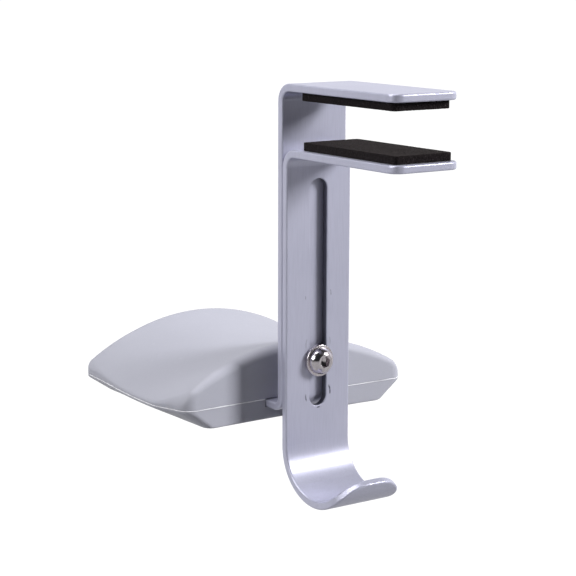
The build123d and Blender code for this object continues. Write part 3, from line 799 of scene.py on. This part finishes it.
# ------------------------------------------------------------------ floor, light, camera
def floor_material():
    m = bpy.data.materials.new("floor")
    m.use_nodes = True
    nt = m.node_tree
    nt.nodes.clear()
    out = nt.nodes.new("ShaderNodeOutputMaterial")
    diffuse = nt.nodes.new("ShaderNodeBsdfDiffuse")
    co = nt.nodes.new("ShaderNodeTexCoord")
    tone = mix(nt, remap(nt, noise(nt, co.outputs["Object"], 3.0, 2.0), 0.3, 0.7, 0.0, 1.0), (0.29, 0.29, 0.29), (0.32, 0.32, 0.32))
    nt.links.new(tone, diffuse.inputs["Color"])
    emit = nt.nodes.new("ShaderNodeEmission")
    emit.inputs["Strength"].default_value = 1.12
    path = nt.nodes.new("ShaderNodeLightPath")
    add = nt.nodes.new("ShaderNodeMixShader")
    nt.links.new(calc(nt, "MULTIPLY", path.outputs["Is Camera Ray"], 0.95), add.inputs["Fac"])
    # painted reflection: to glossy rays the floor glows, brighter towards +Y, as a bright surface for the metal to
    # reflect
    painted_floor_glow = nt.nodes.new("ShaderNodeEmission")
    behind = remap(nt, axes(nt, co.outputs["Object"])[1], -0.1, 0.4, 0.53, 1.0, True)
    nt.links.new(behind, painted_floor_glow.inputs["Strength"])
    gloss = nt.nodes.new("ShaderNodeMixShader")
    nt.links.new(calc(nt, "MULTIPLY", path.outputs["Is Glossy Ray"], 0.8), gloss.inputs["Fac"])
    nt.links.new(diffuse.outputs["BSDF"], gloss.inputs[1])
    nt.links.new(painted_floor_glow.outputs["Emission"], gloss.inputs[2])
    nt.links.new(gloss.outputs["Shader"], add.inputs[1])
    nt.links.new(emit.outputs["Emission"], add.inputs[2])
    clear = nt.nodes.new("ShaderNodeBsdfTransparent")
    geo = nt.nodes.new("ShaderNodeNewGeometry")
    side = nt.nodes.new("ShaderNodeMixShader")
    nt.links.new(geo.outputs["Backfacing"], side.inputs["Fac"])
    nt.links.new(add.outputs["Shader"], side.inputs[1])
    nt.links.new(clear.outputs["BSDF"], side.inputs[2])
    nt.links.new(side.outputs["Shader"], out.inputs["Surface"])
    return m


bpy.ops.mesh.primitive_plane_add(size=12.0, location=(0, 0, CAD_LO.z - 0.16))
floor = bpy.context.object
floor.name = "floor"
floor.data.materials.append(floor_material())

world = bpy.data.worlds.new("studio")
scene.world = world
world.use_nodes = True
nt = world.node_tree
nt.nodes.clear()
out = nt.nodes.new("ShaderNodeOutputWorld")
white = nt.nodes.new("ShaderNodeBackground")
white.inputs["Color"].default_value = (1, 1, 1, 1)
white.inputs["Strength"].default_value = 1.05
studio = nt.nodes.new("ShaderNodeBackground")
tc = nt.nodes.new("ShaderNodeTexCoord")
sep = nt.nodes.new("ShaderNodeSeparateXYZ")
nt.links.new(tc.outputs["Generated"], sep.inputs["Vector"])
# a white backdrop behind the object, a dark room on the camera's side
toward = nt.nodes.new("ShaderNodeVectorMath")
toward.operation = "DOT_PRODUCT"
toward.inputs[1].default_value = (0.565, 0.825, 0.0)
nt.links.new(tc.outputs["Generated"], toward.inputs[0])
wall = remap(nt, toward.outputs["Value"], -0.05, 0.55, 0.0, 1.0, True)
above = remap(nt, sep.outputs["Z"], -0.6, 1.0, 0.0, 1.0)
room = mix(nt, above, (0.006, 0.006, 0.007), (0.03, 0.03, 0.032))
wall = calc(nt, "MULTIPLY", wall, remap(nt, sep.outputs["Z"], 0.30, 0.80, 1.0, 0.15, True))
tint = mix(nt, wall, room, (0.92, 0.92, 0.94))
nt.links.new(tint, studio.inputs["Color"])
studio.inputs["Strength"].default_value = 1.0
path = nt.nodes.new("ShaderNodeLightPath")
mx = nt.nodes.new("ShaderNodeMixShader")
nt.links.new(path.outputs["Is Camera Ray"], mx.inputs["Fac"])
nt.links.new(studio.outputs["Background"], mx.inputs[1])
nt.links.new(white.outputs["Background"], mx.inputs[2])
nt.links.new(mx.outputs["Shader"], out.inputs["Surface"])

TARGET = Vector((0.0, 0.01, -0.07))


def softbox(name, direction, distance, size, power, color=(1, 1, 1)):
    d = Vector(direction).normalized()
    light = bpy.data.lights.new(name, "AREA")
    light.shape = "RECTANGLE"
    light.size, light.size_y = size
    light.energy = power
    light.color = color
    obj = bpy.data.objects.new(name, light)
    obj.location = TARGET + d * distance
    obj.rotation_mode = "QUATERNION"
    obj.rotation_quaternion = (-d).to_track_quat("-Z", "Y")
    obj.visible_camera = False
    scene.collection.objects.link(obj)
    return obj


softbox("key", (0.655, -0.61, 0.432), 1.50, (0.36, 0.42), 15.0)
wash = softbox("wash", (0.655, -0.61, 0.445), 1.50, (0.36, 0.50), 19.0)
wash.visible_glossy = False
softbox("top", (-0.30, 0.22, 1.0), 1.20, (0.80, 0.80), 11.2)
softbox("left", (-0.85, -0.02, 0.40), 1.30, (0.60, 0.60), 9.5)

CAM_AZ, CAM_EL, CAM_ROLL = (math.radians(v) for v in (-34.417, 10.680, 0.125))
CAM_DIST, CAM_TX, CAM_TZ, CAM_LENS = 672.922, -11.728, -8.942, 109.36
Z_SHIFT = -63.85
back = Vector((math.sin(CAM_AZ) * math.cos(CAM_EL), -math.cos(CAM_AZ) * math.cos(CAM_EL), math.sin(CAM_EL)))
right = Vector((math.cos(CAM_AZ), math.sin(CAM_AZ), 0.0))
up = back.cross(right)
right2 = right * math.cos(CAM_ROLL) + up * math.sin(CAM_ROLL)
up2 = -right * math.sin(CAM_ROLL) + up * math.cos(CAM_ROLL)
spot = back * CAM_DIST + right * CAM_TX + up * CAM_TZ + Vector((0, 0, Z_SHIFT))
cam_data = bpy.data.cameras.new("camera")
cam_data.lens = CAM_LENS
cam_data.sensor_width = 36.0
cam_data.sensor_fit = "HORIZONTAL"
cam_data.clip_start, cam_data.clip_end = 0.05, 50.0
camera = bpy.data.objects.new("camera", cam_data)
m = Matrix.Identity(4)
for i, axis in enumerate((right2, up2, back)):
    m[0][i], m[1][i], m[2][i] = axis
m.translation = spot * MM
camera.matrix_world = m
scene.collection.objects.link(camera)
scene.camera = camera

scene.view_settings.view_transform = "Standard"
scene.view_settings.look = "None"
scene.view_settings.exposure = 0.0
scene.view_settings.gamma = 1.0
